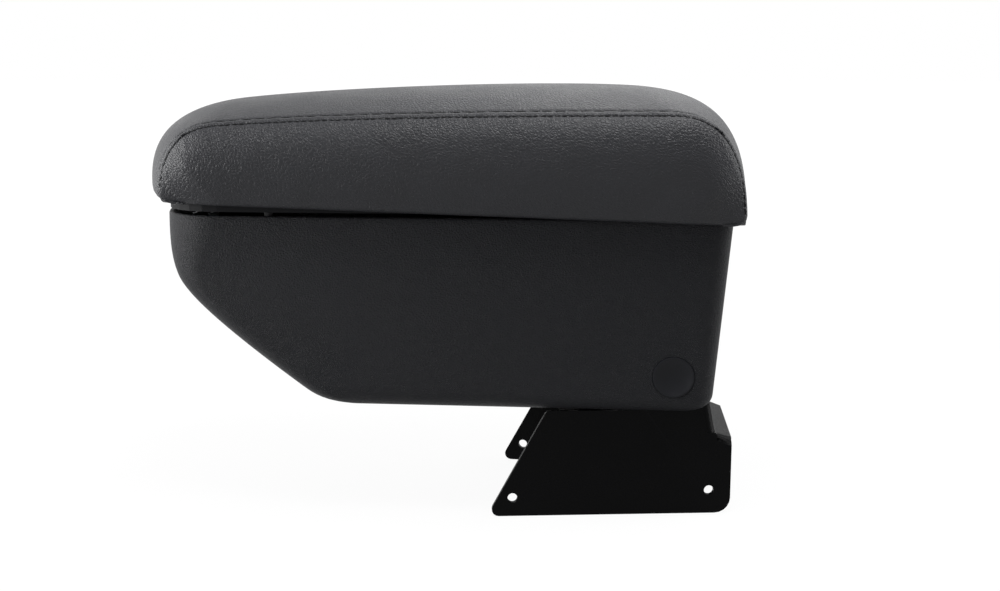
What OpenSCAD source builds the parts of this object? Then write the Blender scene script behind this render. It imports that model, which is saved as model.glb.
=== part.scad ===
// Car centre armrest: a padded lid on a storage box that tilts on a folded steel bracket.
// +X points to the hinge end, -Y is the left side, +Z is up. The bracket stands on Z = 0.

/* [Storage box] */
// Height of the box from its floor to its rim
box_h = 96.2; // [90:0.1:105]
// Half of the box's width at its rim
box_half_w = 57; // [55:0.1:58]
// Thickness of the side walls
wall = 2.6; // [2:0.1:3.2]
// Thickness of the floor
floor_t = 2.8; // [2:0.1:3.5]
// Height of the straight front wall above the slanted underside
front_wall_h = 34.8; // [28:0.1:42]
// Angle of the slanted front underside to the floor
slant_angle = 40.6; // [37:0.1:46]
// Radius of the edge all round the floor
floor_edge_r = 12; // [9:0.5:15]
// Radius of the bend from the slanted front to the floor
slant_bend_r = 35; // [25:1:45]
// Lean of the rear wall from the vertical
rear_lean = 5; // [3:0.5:6]

/* [Lid] */
// Length of the padded lid
lid_len = 307.2; // [300:0.1:320]
// How far each seam lies outside the side of the box
seam_overhang = 5; // [4:0.1:9]
// How far the padded nose stands ahead of the seams
nose_depth = 17; // [12:0.5:20]
// How far the padded rear stands behind the seams
tail_depth = 4.8; // [4:0.1:7]
// How far the top is crowned above the seams
crown = 13; // [9:0.5:17]
// Height of the pad's lower edge above the box rim at the front
edge_front = 6.8; // [5:0.1:9]
// Height of the pad's lower edge above the box rim at the rear, below zero where it hangs past it
edge_rear = -1.9; // [-3:0.1:0]
// Height of the side panel at the front
side_h_front = 38.4; // [33:0.1:44]
// Height of the side panel at the rear
side_h_rear = 52; // [46:0.1:58]
// How far a side panel bulges past its seam
side_bulge = 2.6; // [1.5:0.1:4]
// Thickness of the leatherette cover
cover_t = 1.5; // [1.2:0.1:2]
// Thickness of the board under the foam
board_t = 3; // [2:0.1:5]
// Thickness of the lid panel's walls
panel_t = 2.5; // [2:0.1:3]

/* [Lid hinge] */
// Radius of the hinge pin
hinge_pin_r = 1.5; // [1.2:0.1:2]
// Wall of a hinge knuckle round its pin
knuckle_wall = 1.9; // [1.5:0.1:2.2]
// Width of each hinge knuckle
knuckle_w = 14; // [10:1:18]

/* [Bracket] */
// Height from the bracket's lower edges to the underside of the box
bracket_h = 57; // [54:0.5:66]
// Thickness of the bracket's sheet
sheet_t = 2.5; // [2:0.1:3]
// How far the plates lie inside the side of the box at the rear screw holes
rear_hole_inset = 20.4; // [19:0.1:23]
// How far the plates lie inside the side of the box at the front screw holes
front_hole_inset = 8; // [6:0.1:12]
// Distance between the front and rear screw holes
hole_spacing = 100; // [90:1:108]
// Diameter of the screw holes
hole_d = 5; // [4.5:0.1:6]
// Height of the front screw holes
front_hole_z = 9.6; // [8:0.1:12]
// Height of the rear screw holes
rear_hole_z = 12.2; // [10:0.1:14]
// Outer radius of the folds
fold_r = 4; // [3:0.5:5]

/* [Tilt pivot] */
// Height of the tilt pivot above the underside of the box
pivot_rise = 18.7; // [17:0.1:21]
// Distance from the tilt pivot to the rear end of the lid
pivot_to_rear = 37.1; // [35:0.1:39]
// Radius of the pivot bolt's shank
bolt_r = 4; // [3.5:0.1:4.5]
// Thickness of the bush wall
bush_t = 1.9; // [1.5:0.1:2.4]
// Diameter of the dished cap over each pivot
cap_d = 21; // [20:0.5:24]

/* [Hidden] */
$fn = 48;

// Clearances: between seated pieces, and round a shaft that turns
gap = 0.3;
run = 0.06;
// Overlap that makes a cut clean
eps = 0.5;

// Heights that the pieces share
floor_z = bracket_h;
inner_floor_z = floor_z + floor_t;
rim_z = floor_z + box_h;
pivot_z = floor_z + pivot_rise;

// Ends of the lid and of the box at its rim
lid_front_x = -lid_len / 2;
lid_rear_x = lid_len / 2;
box_front_x = lid_front_x + 7.7;
box_rear_x = lid_rear_x - 9.4;
pivot_x = lid_rear_x - pivot_to_rear;

// Half widths that follow from the box
seam_half_w = box_half_w + seam_overhang;
rear_hole_half_w = box_half_w - rear_hole_inset;
front_hole_half_w = box_half_w - front_hole_inset;

// Plan radii of the box: the nose, its corners at the rim and low down, and the rear corners
nose_r = 107;
nose_corner_r = 32;
low_corner_r = 15;
rear_corner_r = 9;
// How much narrower the box is at its front end, and low down
front_taper = 0.05;
side_draft = 0.016;
// The kink between the front wall and the slant is a hyperbola of this width
kink = 13;

// Two lists of points joined pairwise with weight t
function mix(a, b, t) = a + (b - a) * t;

// Half of a plan outline from the nose to the rear corner, on the +Y side
function half_plan(xf, xr, w, rn, rc, rr) =
    let (
        a0 = asin((w - rc) / (rn - rc)),
        cx = xf + rn - (rn - rc) * cos(a0)
    )
    concat(
        [for (i = [0:4]) [xf + rn - rn * cos(a0 * i / 4), rn * sin(a0 * i / 4)]],
        [for (i = [1:5]) let (a = mix(a0, 90, i / 5)) [cx - rc * cos(a), w - rc + rc * sin(a)]],
        [for (i = [1:3]) [mix(cx, xr - rr, i / 4), w]],
        [for (i = [0:4]) [xr - rr + rr * sin(22.5 * i), w - rr + rr * cos(22.5 * i)]]
    );

// A whole plan outline, a little narrower towards its nose
function plan(xf, xr, w, rn, rc, rr) =
    let (
        h = half_plan(xf, xr, w, rn, rc, rr),
        n = len(h),
        all = concat(h, [for (i = [n - 1:-1:1]) [h[i][0], -h[i][1]]])
    )
    [for (p = all) [p[0], p[1] * (1 - front_taper * (xr - p[0]) / (xr - xf))]];

// How far an edge of radius r lies inside its wall at height z above a floor at zb
function edge_inset(z, zb, r) = z >= zb + r ? 0 : r - sqrt(max(0, r * r - pow(zb + r - z, 2)));

// Front of the box at height z, for the outer skin (d = 0) or a skin d further in
slant_z = rim_z - front_wall_h;
slope = 1 / tan(slant_angle);
function slant_x(z) =
    let (d = slant_z - z)
    box_front_x + slope * (d + sqrt(d * d + kink * kink)) / 2;
bend_z = floor_z + slant_bend_r * (1 - cos(slant_angle));
function front_x(z) =
    z >= bend_z ? slant_x(z)
    : slant_x(bend_z) + slant_bend_r * sin(slant_angle)
        - sqrt(max(0, pow(slant_bend_r, 2) - pow(floor_z + slant_bend_r - z, 2)));
function rear_x(z) = box_rear_x - (rim_z - z) * tan(rear_lean);

// Outline of the box's outer skin at height z, and of its cavity
function box_ring(z) =
    let (
        low = min(1, (rim_z - z) / (rim_z - slant_z)),
        e = edge_inset(z, floor_z, floor_edge_r)
    )
    [for (p = plan(front_x(z), rear_x(z) - e, box_half_w - side_draft * (rim_z - z) - e,
        nose_r + 60 * low, mix(nose_corner_r, low_corner_r, low), rear_corner_r))
        [p[0], p[1], z]];
function cavity_ring(z) =
    let (
        low = min(1, (rim_z - z) / (rim_z - slant_z)),
        e = edge_inset(z, inner_floor_z, floor_edge_r - wall),
        front = front_x(max(z - floor_t, floor_z)) + wall + 0.5 * low
    )
    [for (p = plan(front, rear_x(z) - wall - e,
        box_half_w - wall - side_draft * (rim_z - z) - e, nose_r + 60 * low,
        mix(nose_corner_r, low_corner_r, low) - wall, rear_corner_r - wall))
        [p[0], p[1], z]];

// Heights of the rings, thickest where the skin curves
function levels(zb, r) = concat(
    [for (t = [1, 0.66, 0.36]) mix(slant_z, rim_z, t)],
    [for (t = [8, 2, -4, -10, -17]) slant_z + t],
    [for (t = [0.75, 0.5, 0.25]) mix(zb + r, slant_z - 17, t)],
    [for (a = [90, 70, 52, 36, 20, 0]) zb + r * (1 - cos(a))]
);

// A closed skin lofted through rings that all have the same number of points
module loft(rings) {
    n = len(rings[0]);
    m = len(rings);
    centre = [for (k = [0, m - 1]) (rings[k][0] + rings[k][floor(n / 2)]) / 2];
    points = concat([for (r = rings) for (p = r) p], centre);
    sides = [for (k = [0:m - 2]) for (i = [0:n - 1]) let (j = (i + 1) % n)
        each [[k * n + i, k * n + j, (k + 1) * n + j], [k * n + i, (k + 1) * n + j, (k + 1) * n + i]]];
    caps = [for (i = [0:n - 1]) let (j = (i + 1) % n)
        each [[m * n, j, i], [m * n + 1, (m - 1) * n + i, (m - 1) * n + j]]];
    polyhedron(points, concat(sides, caps), convexity = 8);
}

// Pivot: the bay in the box, the bosses, bushes, bolts and caps
bay_half_w = box_half_w - 14;
bay_front_x = pivot_x - 20.5;
bay_top_z = pivot_z + 23.5;
boss_r = 10.4;
bush_r = bolt_r + run + bush_t;
ear_boss_half_w = bay_half_w - 0.7;
nut_seat_y = rear_hole_half_w - 1.2;
ear_boss_r = 9;
nut_w = 6.5;
bolt_head_r = 7.5;
cap_recess = 2.4;
pivot_wall_y = box_half_w - side_draft * (rim_z - pivot_z);
head_seat_y = pivot_wall_y - cap_recess - 3.4;

// Bracket: its plates open towards the front, and its web leans into the box
hole_from_pivot = 20.4;
rear_hole_x = pivot_x + hole_from_pivot;
front_hole_x = rear_hole_x - hole_spacing;
plate_slope = (front_hole_half_w - rear_hole_half_w) / hole_spacing;
plate_angle = atan(plate_slope);
plate_rear_x = rear_hole_x + 11.1;
plate_front_x = front_hole_x - 13.8;
ledge_z = 41.9;
web_x = plate_rear_x - 8.5;
web_lean = 10.8;
web_top_z = floor_z + 9.5;
flange_z = floor_z - 3.5;
function plate_y(x) = rear_hole_half_w + (rear_hole_x - x) * plate_slope;
function web_face_x(z) = web_x - (z - ledge_z) * tan(web_lean);

// Lid hinge
hinge_x = box_rear_x + 2.6;
hinge_z = rim_z + 2.3;
knuckle_r = hinge_pin_r + knuckle_wall;
box_knuckle_y = 16;
lid_knuckle_y = box_knuckle_y + knuckle_w + gap;
box_knuckles_y = [-box_knuckle_y, box_knuckle_y];
lid_knuckles_y = [-lid_knuckle_y, lid_knuckle_y];

// Heights inside the lid
panel_z = rim_z + 2;
panel_h = 5.8;
board_z = panel_z + panel_h;
foam_z = board_z + board_t;

// Corner roundings of an outline: points on the arc of radius r at b, between a and c
function fillet(a, b, c, r, n = 5) =
    r <= 0 ? [b] :
    let (
        u = (a - b) / norm(a - b), v = (c - b) / norm(c - b),
        half = acos(u * v) / 2,
        m = b + (u + v) / norm(u + v) * r / sin(half),
        p = b + u * r / tan(half), q = b + v * r / tan(half),
        s = atan2(p[1] - m[1], p[0] - m[0]), e = atan2(q[1] - m[1], q[0] - m[0]),
        turn = e - s > 180 ? e - s - 360 : e - s < -180 ? e - s + 360 : e - s
    )
    [for (i = [0:n]) m + r * [cos(s + turn * i / n), sin(s + turn * i / n)]];
// An outline from corners given as [x, y, radius]
function rounded(c) =
    let (n = len(c))
    [for (i = [0:n - 1]) let (a = c[(i + n - 1) % n], b = c[i], d = c[(i + 1) % n])
        each fillet([a[0], a[1]], [b[0], b[1]], [d[0], d[1]], b[2])];

// Extrude an outline drawn in X and Z along Y, from y0 to y1
module along_y(y0, y1) {
    translate([0, y1, 0]) rotate([90, 0, 0]) linear_extrude(y1 - y0) children();
}
// A round bar along Y
module bar_y(x, z, r, y0, y1) {
    translate([x, y1, z]) rotate([90, 0, 0]) cylinder(r = r, h = y1 - y0);
}

// The same bar on the side s, from y0 out to y1
module side_bar(x, z, r, s, y0, y1) {
    bar_y(x, z, r, s > 0 ? y0 : -y1, s > 0 ? y1 : -y0);
}

// Storage box
module box_skin() {
    outer = [for (z = levels(floor_z, floor_edge_r)) box_ring(z)];
    inner = [for (z = levels(inner_floor_z, floor_edge_r - wall)) cavity_ring(z)];
    loft(concat([for (i = [len(outer) - 1:-1:0]) outer[i]], inner));
}
module pivot_boss(s) {
    side_bar(pivot_x, pivot_z, boss_r, s, ear_boss_half_w + 1, pivot_wall_y - wall / 2);
}
module storage_box() {
    color("#26272a") difference() {
        union() {
            box_skin();
            for (s = [-1, 1]) pivot_boss(s);
            for (y = box_knuckles_y) {
                bar_y(hinge_x, hinge_z, knuckle_r, y - knuckle_w / 2, y + knuckle_w / 2);
                translate([box_rear_x - wall - 0.6, y - knuckle_w / 2, rim_z - 9])
                    cube([wall + 0.6, knuckle_w, hinge_z + knuckle_r - rim_z + 9]);
                translate([box_rear_x - 1, y - knuckle_w / 2, hinge_z])
                    cube([hinge_x - box_rear_x + 1, knuckle_w, knuckle_r]);
            }
            catch_block();
        }
        translate([bay_front_x, -bay_half_w, floor_z - eps])
            cube([lid_len, 2 * bay_half_w, bay_top_z - floor_z + eps]);
        bar_y(pivot_x, pivot_z, bush_r + run, -lid_len, lid_len);
        for (s = [-1, 1]) {
            side_bar(pivot_x, pivot_z, bolt_head_r + gap, s, head_seat_y, lid_len);
            side_bar(pivot_x, pivot_z, cap_d / 2, s, pivot_wall_y - cap_recess, lid_len);
        }
        bar_y(hinge_x, hinge_z, hinge_pin_r + run, -lid_len, lid_len);
        for (y = lid_knuckles_y)
            bar_y(hinge_x, hinge_z, knuckle_r + 2 * gap, y - knuckle_w / 2 - gap, y + knuckle_w / 2 + gap);
        translate([box_front_x + 9.6, 0, catch_top_z - 8]) rotate([0, -90, 0]) cylinder(r = 1.25, h = 6.4);
        for (y = [-cover_screw_y, cover_screw_y])
            translate([bay_front_x - 8, y, floor_z + 0.8]) cylinder(r = 1.3, h = 10);
    }
}

// Snap catch at the front: the box's seat, its spring clip and screw
catch_top_z = rim_z - 4;
tongue_t = 2.4;
module catch_block() {
    translate([box_front_x + 2, -9, catch_top_z - 14]) cube([7.5, 18, 12]);
}
module catch_clip() {
    color("#b9bcc0") difference() {
        union() {
            translate([box_front_x + 9.5, -8, catch_top_z - 14]) cube([1.2, 16, 12]);
            translate([box_front_x + 9.5, -8, catch_top_z - 14]) cube([9.7, 16, 1.2]);
            for (x = [box_front_x + 9.5, box_front_x + 18])
                translate([x, -8, catch_top_z - 14]) cube([1.2, 16, 14]);
        }
        translate([box_front_x + 8.5, 0, catch_top_z - 8]) rotate([0, 90, 0]) cylinder(r = 1.6, h = 3);
    }
}
module catch_screw() {
    color("#8d9196") translate([box_front_x + 10.7, 0, catch_top_z - 8]) rotate([0, 90, 0]) {
        cylinder(r1 = 2.8, r2 = 2.2, h = 1);
        translate([0, 0, -6.5]) cylinder(r = 1.2, h = 7);
    }
}

// Cover over the pivot bay inside the box
cover_wall = 2;
cover_screw_y = bay_half_w - 17;
cover_foot_w = bay_half_w - 9;
module mechanism_cover() {
    // The side walls end above the rounded edge of the floor
    base_z = inner_floor_z + 0.7;
    x0 = bay_front_x - cover_wall - gap;
    x1 = rear_x(bay_top_z) - wall - 1;
    y1 = bay_half_w + cover_wall + 0.4;
    top_z = bay_top_z + cover_wall + 0.3;
    color("#2b2c2f") difference() {
        union() {
            difference() {
                along_y(-y1, y1) polygon(rounded([[x0, base_z, 0], [x0, top_z, 6],
                    [x1 + 0.8, top_z, 0], [rear_x(base_z + 7) - wall - 1, base_z + 7, 0],
                    [rear_x(base_z + 7) - wall - 8, base_z, 0]]));
                along_y(-y1 + cover_wall, y1 - cover_wall) polygon(rounded([
                    [x0 + cover_wall, floor_z - 1, 0], [x0 + cover_wall, top_z - cover_wall, 4],
                    [lid_rear_x, top_z - cover_wall, 0], [lid_rear_x, floor_z - 1, 0]]));
            }
            translate([x0 - 12, -cover_foot_w, inner_floor_z]) cube([12.5, 2 * cover_foot_w, cover_wall]);
            for (t = [-0.5, 0, 0.5])
                translate([x0 - 6, t * cover_screw_y - 1, inner_floor_z + cover_wall - eps])
                    cube([6.5, 2, 9]);
        }
        for (y = [-cover_screw_y, cover_screw_y])
            translate([bay_front_x - 8, y, inner_floor_z - 1]) cylinder(r = 1.8, h = 6);
        bar_y(pivot_x, pivot_z, boss_r + gap, -y1 - 1, y1 + 1);
        translate([pivot_x - boss_r - gap, -y1 - 1, floor_z - 1])
            cube([2 * (boss_r + gap), 2 * y1 + 2, pivot_z - floor_z + 1]);
    }
}
module cover_screws() {
    color("#3a3b3e") for (y = [-cover_screw_y, cover_screw_y]) translate([bay_front_x - 8, y, 0]) {
        translate([0, 0, floor_z + 1]) cylinder(r = 1.25, h = floor_t + cover_wall);
        translate([0, 0, inner_floor_z + cover_wall]) cylinder(r1 = 3.2, r2 = 2.4, h = 1.6);
    }
}
module box_mat() {
    x0 = front_x(floor_z) + 22;
    x1 = bay_front_x - 24;
    y = box_half_w - 15;
    color("#1c1c1e") translate([0, 0, inner_floor_z + 0.05])
        linear_extrude(1.5) polygon(rounded([[x0, -y, 8], [x1, -y, 8], [x1, y, 8], [x0, y, 8]]));
}

// Bracket
module plate_outline() {
    slant = tan(29.4);
    polygon(rounded([[plate_rear_x, 0, 8], [plate_rear_x, ledge_z - 3.1, 0.5], [web_x, ledge_z, 0.5],
        [web_face_x(web_top_z), web_top_z, 3], [pivot_x + 12, web_top_z + 2, 0],
        [pivot_x + 13.5, pivot_z, 0],
        [pivot_x, pivot_z + 13, 0], [pivot_x - 13.5, pivot_z, 0], [pivot_x - 16, flange_z + 6, 3],
        [pivot_x - 19, flange_z + 1.5, 2], [plate_front_x + flange_z * slant, flange_z + 1.5, 3],
        [plate_front_x, 0, 3.5]]));
}
module side_plate(s) {
    // The outline is drawn at the rear edge and turned about it, so that the plates open forwards
    translate([plate_rear_x, s * plate_y(plate_rear_x), 0]) rotate([0, 0, -s * plate_angle])
        translate([-plate_rear_x, 0, 0]) along_y(s > 0 ? -sheet_t : 0, s > 0 ? 0 : sheet_t) union() {
            plate_outline();
            translate([pivot_x, pivot_z]) circle(r = 14.5);
        }
}
module web_outline() {
    up = [-sin(web_lean), cos(web_lean)];
    out = [cos(18), -sin(18)];
    top = [web_face_x(web_top_z), web_top_z];
    knee = [web_x, ledge_z];
    tip = [plate_rear_x, ledge_z - 2.9];
    polygon(concat(
        [top], fillet(top, knee, tip, 2), [tip, tip + sheet_t * [-out[1], out[0]] * -1],
        fillet(tip - sheet_t * [0.3, 0.95], knee - sheet_t * [1.2, 0.8], top - sheet_t * [1, 0.2], 4),
        [top - sheet_t * [up[1], -up[0]]]));
}
// Cross-section of a cutter that rounds the fold at corner c between two sheets: u and v
// run along the sheets, nu and nv are their outward normals
function fold_ring(c, u, v, nu, nv) =
    let (p = c + u * fold_r, q = c + v * fold_r, m = c + (u + v) * fold_r)
    concat([c + nu + nv, p + nu],
        [for (i = [0:6]) let (w = mix(p, q, i / 6) - m) m + fold_r * w / norm(w)],
        [q + nv]);
function ledge_top_z(x) = ledge_z - (x - web_x) * 0.35;
module fold_cuts() {
    // Between the plate and the leaning web
    loft([for (z = [web_top_z + 2, ledge_z + 0.5]) let (x = web_face_x(z))
        fold_ring([x, plate_y(x), z], [-1, 0, 0], [0, -1, 0], [0, 1, 0], [1, 0, 0])]);
    // Between the plate and the ledge
    loft([for (x = [plate_rear_x + 1, web_x + 1])
        fold_ring([x, plate_y(x), ledge_top_z(x)], [0, -1, 0], [0, 0, -1], [0, 0, 1], [0, 1, 0])]);
}
module bracket() {
    color("#141415") difference() {
        union() {
            for (s = [-1, 1]) side_plate(s);
            intersection() {
                along_y(-60, 60) web_outline();
                translate([0, 0, ledge_z - 12]) linear_extrude(60) polygon([
                    [plate_rear_x + 1, plate_y(plate_rear_x + 1) - 1], [60, plate_y(60) - 1],
                    [60, 1 - plate_y(60)], [plate_rear_x + 1, 1 - plate_y(plate_rear_x + 1)]]);
            }
            for (s = [-1, 1]) {
                rest_flange(s);
                side_bar(pivot_x, pivot_z, ear_boss_r, s, nut_seat_y, ear_boss_half_w);
            }
        }
        bar_y(pivot_x, pivot_z, bolt_r + 0.1, -60, 60);
        for (s = [-1, 1]) {
            translate([rear_hole_x, s * rear_hole_half_w, rear_hole_z]) screw_hole(s);
            translate([front_hole_x, s * front_hole_half_w, front_hole_z]) screw_hole(s);
            mirror([0, s > 0 ? 0 : 1, 0]) fold_cuts();
        }
    }
}
module screw_hole(s) {
    rotate([0, 0, -s * plate_angle]) rotate([90, 0, 0]) cylinder(d = hole_d, h = 20, center = true);
}
flange_x0 = pivot_x - 58;
flange_x1 = pivot_x - 26;
flange_w = 15;
module rest_flange(s) {
    translate([0, 0, flange_z - sheet_t + 1.5]) linear_extrude(sheet_t)
        polygon([for (p = [[flange_x0, 1.2], [flange_x1, 1.2], [flange_x1 - 4, flange_w],
            [flange_x0 + 4, flange_w]]) [p[0], s * (plate_y(p[0]) - p[1])]]);
}
buffer_x = (flange_x0 + flange_x1) / 2;
module rest_buffers() {
    color("#1a1a1a") for (s = [-1, 1])
        translate([buffer_x, s * (plate_y(buffer_x) - 9), flange_z + 1.5]) {
            cylinder(r = 5, h = floor_z - gap - flange_z - 1.5);
            translate([0, 0, -sheet_t - 1.2]) cylinder(r = 3.4, h = 1.2);
        }
}
module pivot_nuts() {
    color("#8f9296") for (s = [-1, 1]) difference() {
        translate([pivot_x, s * nut_seat_y, pivot_z]) rotate([s * 90, 0, 0])
            cylinder(r = 7.4, h = nut_w, $fn = 6);
        bar_y(pivot_x, pivot_z, bolt_r + 0.05, -60, 60);
    }
}
module pivot_bolt(s) {
    tip_y = nut_seat_y - nut_w;
    head_y = head_seat_y + 0.2;
    head_h = 2.8;
    difference() {
        union() {
            side_bar(pivot_x, pivot_z, bolt_r, s, tip_y, head_y);
            translate([pivot_x, s * head_y, pivot_z]) rotate([-s * 90, 0, 0]) rotate_extrude() polygon([
                [0, 0], [bolt_head_r, 0], [bolt_head_r, head_h - 1.2], [bolt_head_r - 1, head_h],
                [0, head_h]]);
        }
        translate([pivot_x, s * (head_y + 1), pivot_z]) rotate([-s * 90, 0, 0])
            cylinder(r = 2.5, h = 5, $fn = 6);
    }
}
module pivot_bolt_left() { color("#9a9da1") pivot_bolt(-1); }
module pivot_bolt_right() { color("#9a9da1") pivot_bolt(1); }
module friction_washers() {
    color("#a6a9ad") for (s = [-1, 1]) difference() {
        side_bar(pivot_x, pivot_z, 8, s, ear_boss_half_w, ear_boss_half_w + 0.7);
        bar_y(pivot_x, pivot_z, bolt_r + 0.2, -60, 60);
    }
}
module pivot_bush(s) {
    difference() {
        side_bar(pivot_x, pivot_z, bush_r, s, ear_boss_half_w + 1, head_seat_y);
        bar_y(pivot_x, pivot_z, bolt_r + run, -60, 60);
    }
}
module pivot_bush_left() { color("#d8d6cf") pivot_bush(-1); }
module pivot_bush_right() { color("#d8d6cf") pivot_bush(1); }
// A round cap with a dished face, pressed in over the bolt
module pivot_cap(s) {
    seat_y = pivot_wall_y - cap_recess;
    r = cap_d / 2 - 0.15;
    proud = 0.9;
    translate([pivot_x, s * seat_y, pivot_z]) rotate([-s * 90, 0, 0]) rotate_extrude() polygon(concat(
        [[0, 0], [r, 0], [r, cap_recess + proud - 0.8], [r - 0.8, cap_recess + proud]],
        [for (i = [1:8]) let (x = (r - 1.5) * (1 - i / 8))
            [x, cap_recess + proud - 1.5 * (1 - pow(x / (r - 1.5), 2))]]));
}
module pivot_cap_left() { color("#2a2b2e") pivot_cap(-1); }
module pivot_cap_right() { color("#2a2b2e") pivot_cap(1); }

// Lid hinge pin, from the outer end of one lid knuckle to the other
module hinge_pin() {
    half = lid_knuckle_y + knuckle_w / 2 - 0.2;
    color("#a0a3a7") bar_y(hinge_x, hinge_z, hinge_pin_r, -half, half);
}

// Plan outline of the lid's panel and board, d inside the line of the box's rim
function lid_plan(d) = plan(box_front_x + d, box_rear_x - 3.4 - d, box_half_w - d, nose_r - d,
    nose_corner_r - d, rear_corner_r - 1);
module lid_panel() {
    color("#242528") difference() {
        union() {
            difference() {
                translate([0, 0, panel_z]) linear_extrude(panel_h) polygon(lid_plan(0.5));
                translate([0, 0, panel_z + panel_t]) linear_extrude(panel_h)
                    polygon(lid_plan(0.5 + panel_t));
            }
            for (x = [-90:45:105]) translate([x - 1, -box_half_w + 6, panel_z + 1])
                cube([2, 2 * box_half_w - 12, panel_h - 1]);
            for (y = lid_knuckles_y) {
                bar_y(hinge_x, hinge_z, knuckle_r, y - knuckle_w / 2, y + knuckle_w / 2);
                translate([box_rear_x - 8, y - knuckle_w / 2, hinge_z + 0.1])
                    cube([hinge_x - box_rear_x + 8, knuckle_w, knuckle_r - 0.1]);
            }
            tongue();
            for (p = lid_screw_places) translate([p[0], p[1], panel_z + 1])
                cylinder(r = 4.5, h = panel_h - 1);
        }
        bar_y(hinge_x, hinge_z, hinge_pin_r + run, -60, 60);
        for (y = box_knuckles_y)
            translate([box_rear_x - 5, y - knuckle_w / 2 - gap, panel_z - 1])
                cube([12, knuckle_w + 2 * gap, panel_h + 2]);
        for (p = lid_screw_places) translate([p[0], p[1], panel_z - 1]) {
            cylinder(r = 1.9, h = panel_h + 2);
            cylinder(r = 3.4, h = 2.6);
        }
    }
}
lid_screw_places = [
    for (x = [box_front_x + 46, 10, box_rear_x - 32], y = [21 - box_half_w, box_half_w - 21]) [x, y]];
module tongue() {
    x = box_front_x + 14.35;
    translate([x - tongue_t / 2, -6, panel_z - 14]) cube([tongue_t, 12, 15]);
}
module lid_screws() {
    color("#77797d") for (p = lid_screw_places) translate([p[0], p[1], panel_z]) {
        cylinder(r = 3.1, h = 1.6);
        cylinder(r = 1.7, h = panel_h + board_t - 0.6);
    }
}
module lid_bumpers() {
    color("#171717") for (x = [box_front_x + 62, box_rear_x - 48], s = [-1, 1]) {
        taper = 1 - front_taper * (box_rear_x - x) / (box_rear_x - box_front_x);
        translate([x, s * (box_half_w * taper - 2.6), rim_z + gap])
            cylinder(r1 = 2, r2 = 2.4, h = panel_z - rim_z - gap);
    }
}
module pad_board() {
    color("#6b5a45") difference() {
        translate([0, 0, board_z]) linear_extrude(board_t) polygon(lid_plan(0.8));
        for (p = lid_screw_places) translate([p[0], p[1], board_z - 1]) cylinder(r = 1.75, h = 10);
    }
}

// Padded lid. A side view of the pad is three Bezier curves: nose, top and tail.
edge_front_z = rim_z + edge_front;
edge_rear_z = rim_z + edge_rear;
seam_front_z = edge_front_z + side_h_front;
seam_rear_z = edge_rear_z + side_h_rear;
nose_x = lid_front_x + nose_depth + 1.4;
tail_x = lid_rear_x - tail_depth;
// Control points at the seams, and how far each moves by the middle of the pad
seam_points = [[nose_x, edge_front_z], [nose_x - 4.5, edge_front_z + 14], [nose_x + 5, seam_front_z - 0.9],
    [nose_x + 28, seam_front_z], [nose_x + 74, seam_front_z + 2.2], [tail_x - 109, seam_rear_z + 0.3],
    [tail_x - 31.8, seam_rear_z], [tail_x - 9.8, seam_rear_z + 0.7], [tail_x - 2.3, seam_rear_z - 18],
    [tail_x, edge_rear_z]];
swell = [[-nose_depth, -1.5], [-nose_depth - 1, 0], [-nose_depth - 1, crown - 4], [0, crown - 0.8],
    [0, crown + 1], [5, crown + 2.7], [-20, crown - 0.3], [0, crown - 3], [7, crown - 1],
    [tail_depth, -0.3]];
function bezier(p, t) =
    pow(1 - t, 3) * p[0] + 3 * t * pow(1 - t, 2) * p[1] + 3 * t * t * (1 - t) * p[2] + pow(t, 3) * p[3];
curve_steps = 6;
// The pad's side view with weight c of the swell, d inside the cover's outer face
function pad_curve(c, d) =
    let (
        p = [for (i = [0:9]) seam_points[i] + c * swell[i]],
        q = concat([for (k = [0:2]) for (i = [0:curve_steps - 1])
            bezier([for (j = [0:3]) p[3 * k + j]], i / curve_steps)], [p[9]]),
        n = len(q)
    )
    [for (i = [0:n - 1]) let (a = q[max(i - 1, 0)], b = q[min(i + 1, n - 1)], t = (b - a) / norm(b - a))
        q[i] + d * (i == 0 ? [1, 0] : i == n - 1 ? [-1, 0] : [t[1], -t[0]])];
function swell_at(y) = 1 - pow(abs(y) / seam_half_w, 2.3);
rows_y = [for (t = [-1, -0.93, -0.82, -0.62, -0.34, 0, 0.34, 0.62, 0.82, 0.93, 1]) t * seam_half_w];
// Points along the straight lower edge from the tail back to the nose
function lower_edge(curve, n = 4) = [for (i = [1:n]) mix(curve[len(curve) - 1], curve[0], i / (n + 1))];
function at_y(curve, y) = [for (p = curve) [p[0], y, p[1]]];

module top_cover() {
    color("#47474a") {
        n = 3 * curve_steps + 1;
        m = len(rows_y);
        rows = [for (y = rows_y) let (c = swell_at(y))
            concat(at_y(pad_curve(c, 0), y), at_y(pad_curve(c, cover_t), y))];
        points = [for (r = rows) for (p = r) p];
        w = 2 * n;
        skins = [for (k = [0:m - 2]) for (i = [0:n - 2]) let (a = k * w + i, b = (k + 1) * w + i)
            each [[a, a + 1, b + 1], [a, b + 1, b],
                [a + n, b + n, b + n + 1], [a + n, b + n + 1, a + n + 1]]];
        lips = [for (k = [0:m - 2]) for (i = [0, n - 1]) let (a = k * w + i, b = (k + 1) * w + i)
            each i == 0 ? [[a, b, b + n], [a, b + n, a + n]] : [[a, b + n, b], [a, a + n, b + n]]];
        ends = [for (i = [0:n - 2]) let (a = i, b = (m - 1) * w + i)
            each [[a, a + n, a + n + 1], [a, a + n + 1, a + 1],
                [b, b + n + 1, b + n], [b, b + 1, b + n + 1]]];
        polyhedron(points, concat(skins, lips, ends), convexity = 6);
    }
}
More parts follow.
